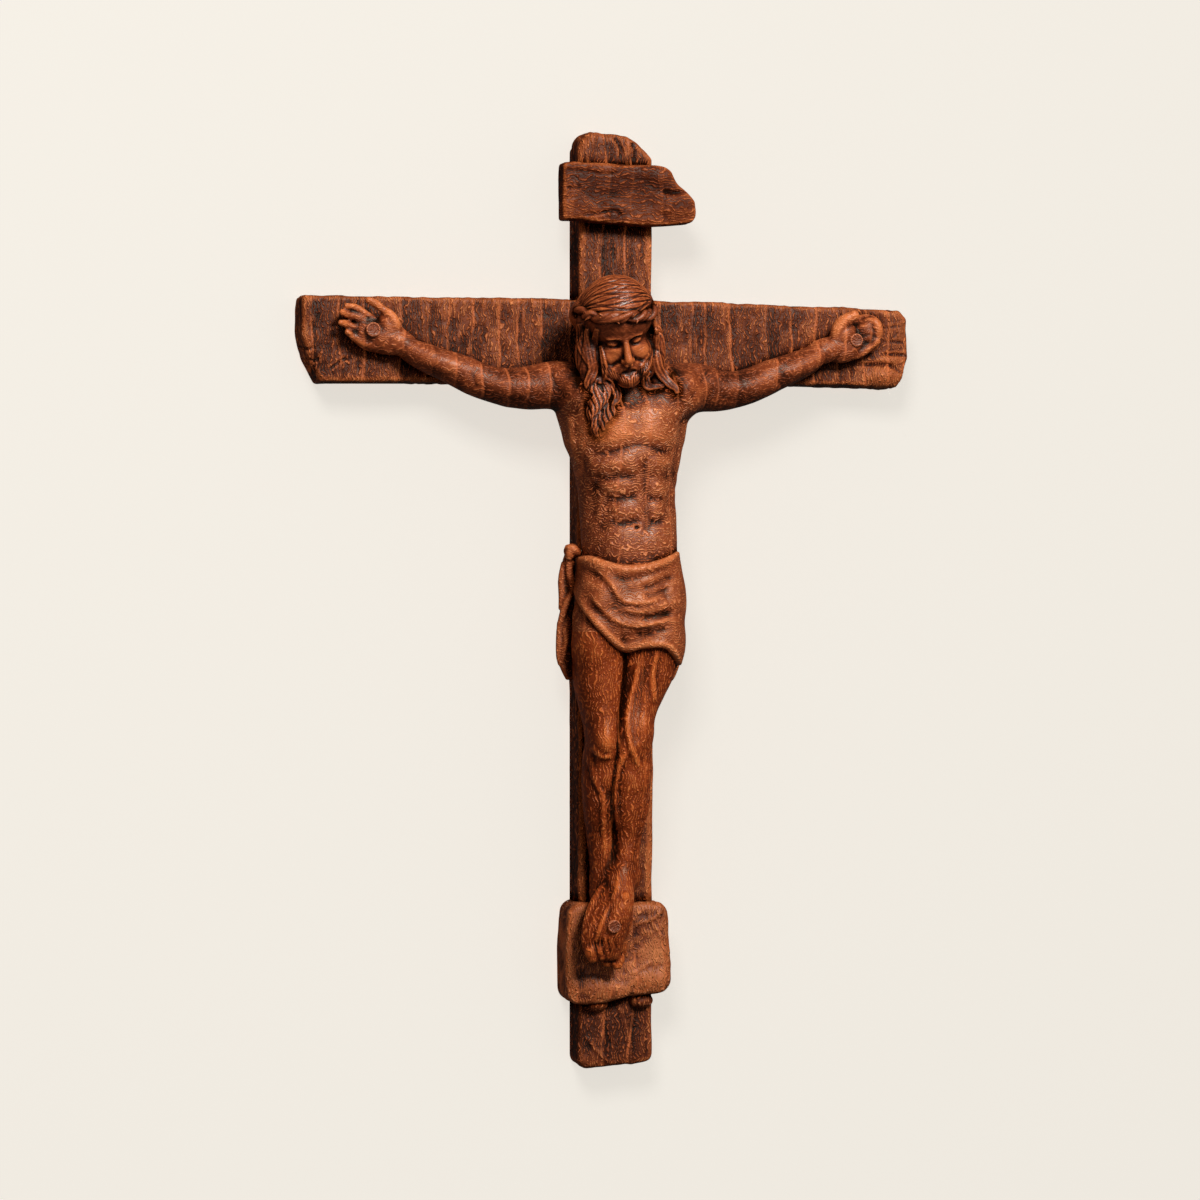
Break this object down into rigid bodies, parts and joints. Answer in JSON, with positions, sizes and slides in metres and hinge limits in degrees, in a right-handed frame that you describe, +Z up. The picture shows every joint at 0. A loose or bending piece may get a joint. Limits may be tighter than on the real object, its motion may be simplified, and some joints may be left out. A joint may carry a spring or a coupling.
{
  "type": "crucifix",
  "caption": "Carved wooden wall crucifix with halved beams, bare name board, footrest and a figure nailed at hands and feet, hung on a pin in a blind bore at the back.",
  "frame": {"origin": "centre of the mouth of the hanging bore, in the back face of the upright", "axes": "+Y out of the back towards the wall, so the front looks along -Y; +Z up along the upright; +X towards the figure's left hand, the viewer's right"},
  "size_m": [0.198, 0.0515, 0.2998],
  "materials": {
    "beam_wood": "dark walnut stain rubbed back on the edges, satin wax",
    "board_wood": "dark walnut stain rubbed back on the edges, satin wax",
    "figure_wood": "red-brown stain, dark in the hollows, satin wax",
    "cloth_carving": "red-brown stain, dark in the folds, satin wax",
    "crown_wood": "red-brown stain, satin wax",
    "nail_wood": "red-brown stain, satin wax",
    "peg_wood": "bare hardwood, end grain"
  },
  "bodies": {
    "root": {"upright": "beam_wood", "crossbeam": "beam_wood", "footrest": "beam_wood", "footrest_corbels": "beam_wood", "titulus": "board_wood", "trunk": "figure_wood", "head": "figure_wood", "right_arm": "figure_wood", "left_arm": "figure_wood", "right_leg": "figure_wood", "left_leg": "figure_wood", "loincloth": "cloth_carving", "loincloth_tail": "cloth_carving", "crown_of_thorns": "crown_wood", "hand_nails": "nail_wood", "foot_nail": "nail_wood", "lap_dowels": "peg_wood", "titulus_dowels": "peg_wood", "footrest_dowels": "peg_wood", "trunk_dowels": "peg_wood", "shoulder_dowels": "peg_wood", "hip_dowels": "peg_wood", "neck_dowel": "peg_wood"}
  },
  "joints": []
}
